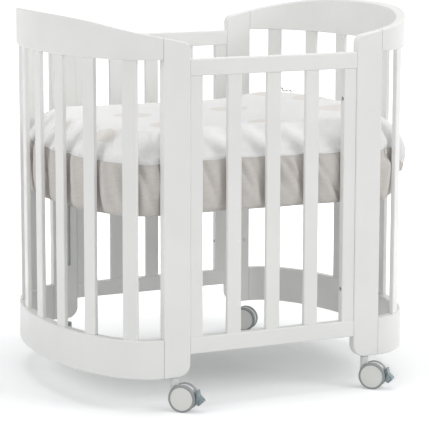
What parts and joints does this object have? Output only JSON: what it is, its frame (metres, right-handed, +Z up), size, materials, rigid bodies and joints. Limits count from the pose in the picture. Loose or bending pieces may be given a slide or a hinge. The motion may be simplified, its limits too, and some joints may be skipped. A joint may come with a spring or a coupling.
{
  "type": "baby crib",
  "caption": "Oval baby crib with bowed slatted ends, slatted sides, a height-adjustable padded mattress base and swivelling twin-wheel casters with brake pedals at the front",
  "frame": {"origin": "On the floor, under the middle of the crib", "axes": "X runs along the crib from the left end to the right end, Y runs across it from front to rear, Z is up"},
  "size_m": [0.85, 0.7543, 0.8456],
  "materials": {
    "white_lacquer": "sprayed white lacquer, satin",
    "bare_wood": "bare beech",
    "bright_steel": "zinc plated",
    "aluminium": "powder coated",
    "white_plastic": "moulded, semi-gloss",
    "wheel_plastic": "moulded, with a grey tread",
    "pedal_plastic": "translucent blue-grey",
    "mattress_ticking": "woven ticking",
    "white_cotton": "plain weave cotton, padded",
    "beige_linen": "twill weave linen blend",
    "stud_plastic": "moulded"
  },
  "bodies": {
    "frame": {"post_front_left": "white_lacquer", "post_front_right": "white_lacquer", "post_rear_left": "white_lacquer", "post_rear_right": "white_lacquer", "left_end_top_rail": "white_lacquer", "left_end_lower_rail": "white_lacquer", "left_end_slats": "white_lacquer", "right_end_top_rail": "white_lacquer", "right_end_lower_rail": "white_lacquer", "right_end_slats": "white_lacquer", "front_top_rail": "white_lacquer", "front_lower_rail": "white_lacquer", "front_slats": "white_lacquer", "front_left_stile": "white_lacquer", "front_right_stile": "white_lacquer", "rear_top_rail": "white_lacquer", "rear_lower_rail": "white_lacquer", "rear_slats": "white_lacquer", "rear_left_stile": "white_lacquer", "rear_right_stile": "white_lacquer", "panel_bolts": "bright_steel", "barrel_nuts": "bright_steel", "end_rail_dowels": "bare_wood", "height_tracks": "aluminium", "caster_sockets": "bright_steel", "wire_hook": "bright_steel"},
    "base": {"base_board": "white_lacquer", "base_brackets": "bright_steel", "bracket_screws": "bright_steel", "height_knobs": "white_plastic", "slider_nuts": "bright_steel", "mattress": "mattress_ticking", "cover_top": "white_cotton", "cover_skirt": "beige_linen", "press_studs": "stud_plastic"},
    "front_left_caster": {"front_left_housing": "white_plastic", "front_left_stem": "bright_steel", "front_left_axle": "bright_steel"},
    "front_left_outer_wheel": {"front_left_outer_wheel": "wheel_plastic"},
    "front_left_inner_wheel": {"front_left_inner_wheel": "wheel_plastic"},
    "front_left_pedal": {"front_left_brake_pedal": "pedal_plastic"},
    "front_right_caster": {"front_right_housing": "white_plastic", "front_right_stem": "bright_steel", "front_right_axle": "bright_steel"},
    "front_right_outer_wheel": {"front_right_outer_wheel": "wheel_plastic"},
    "front_right_inner_wheel": {"front_right_inner_wheel": "wheel_plastic"},
    "front_right_pedal": {"front_right_brake_pedal": "pedal_plastic"},
    "rear_left_caster": {"rear_left_housing": "white_plastic", "rear_left_stem": "bright_steel", "rear_left_axle": "bright_steel"},
    "rear_left_outer_wheel": {"rear_left_outer_wheel": "wheel_plastic"},
    "rear_left_inner_wheel": {"rear_left_inner_wheel": "wheel_plastic"},
    "rear_right_caster": {"rear_right_housing": "white_plastic", "rear_right_stem": "bright_steel", "rear_right_axle": "bright_steel"},
    "rear_right_outer_wheel": {"rear_right_outer_wheel": "wheel_plastic"},
    "rear_right_inner_wheel": {"rear_right_inner_wheel": "wheel_plastic"}
  },
  "joints": [
    {"name": "base_height", "type": "slide", "parent": "frame", "child": "base", "axis": [0, 0, 1], "range_m": [-0.19, 0]},
    {"name": "front_left_swivel", "type": "hinge", "parent": "frame", "child": "front_left_caster", "pos_m": [-0.235, -0.324, 0.074], "axis": [0, 0, 1], "continuous": true},
    {"name": "front_left_outer_roll", "type": "hinge", "parent": "front_left_caster", "child": "front_left_outer_wheel", "pos_m": [-0.21989, -0.33859, 0.03], "axis": [0.6947, 0.7193, 0], "continuous": true},
    {"name": "front_left_inner_roll", "type": "hinge", "parent": "front_left_caster", "child": "front_left_inner_wheel", "pos_m": [-0.21989, -0.33859, 0.03], "axis": [0.6947, 0.7193, 0], "continuous": true},
    {"name": "front_left_brake", "type": "hinge", "parent": "front_left_caster", "child": "front_left_pedal", "pos_m": [-0.20407, -0.35387, 0.034], "axis": [0.6947, 0.7193, 0], "range_deg": [0, 8]},
    {"name": "front_right_swivel", "type": "hinge", "parent": "frame", "child": "front_right_caster", "pos_m": [0.235, -0.324, 0.074], "axis": [0, 0, 1], "continuous": true},
    {"name": "front_right_outer_roll", "type": "hinge", "parent": "front_right_caster", "child": "front_right_outer_wheel", "pos_m": [0.25011, -0.33859, 0.03], "axis": [0.6947, 0.7193, 0], "continuous": true},
    {"name": "front_right_inner_roll", "type": "hinge", "parent": "front_right_caster", "child": "front_right_inner_wheel", "pos_m": [0.25011, -0.33859, 0.03], "axis": [0.6947, 0.7193, 0], "continuous": true},
    {"name": "front_right_brake", "type": "hinge", "parent": "front_right_caster", "child": "front_right_pedal", "pos_m": [0.26593, -0.35387, 0.034], "axis": [0.6947, 0.7193, 0], "range_deg": [0, 8]},
    {"name": "rear_left_swivel", "type": "hinge", "parent": "frame", "child": "rear_left_caster", "pos_m": [-0.235, 0.324, 0.074], "axis": [0, 0, 1], "continuous": true},
    {"name": "rear_left_outer_roll", "type": "hinge", "parent": "rear_left_caster", "child": "rear_left_outer_wheel", "pos_m": [-0.22579, 0.34287, 0.03], "axis": [-0.8988, 0.4384, 0], "continuous": true},
    {"name": "rear_left_inner_roll", "type": "hinge", "parent": "rear_left_caster", "child": "rear_left_inner_wheel", "pos_m": [-0.22579, 0.34287, 0.03], "axis": [-0.8988, 0.4384, 0], "continuous": true},
    {"name": "rear_right_swivel", "type": "hinge", "parent": "frame", "child": "rear_right_caster", "pos_m": [0.235, 0.324, 0.074], "axis": [0, 0, 1], "continuous": true},
    {"name": "rear_right_outer_roll", "type": "hinge", "parent": "rear_right_caster", "child": "rear_right_outer_wheel", "pos_m": [0.25011, 0.30941, 0.03], "axis": [0.6947, 0.7193, 0], "continuous": true},
    {"name": "rear_right_inner_roll", "type": "hinge", "parent": "rear_right_caster", "child": "rear_right_inner_wheel", "pos_m": [0.25011, 0.30941, 0.03], "axis": [0.6947, 0.7193, 0], "continuous": true}
  ]
}
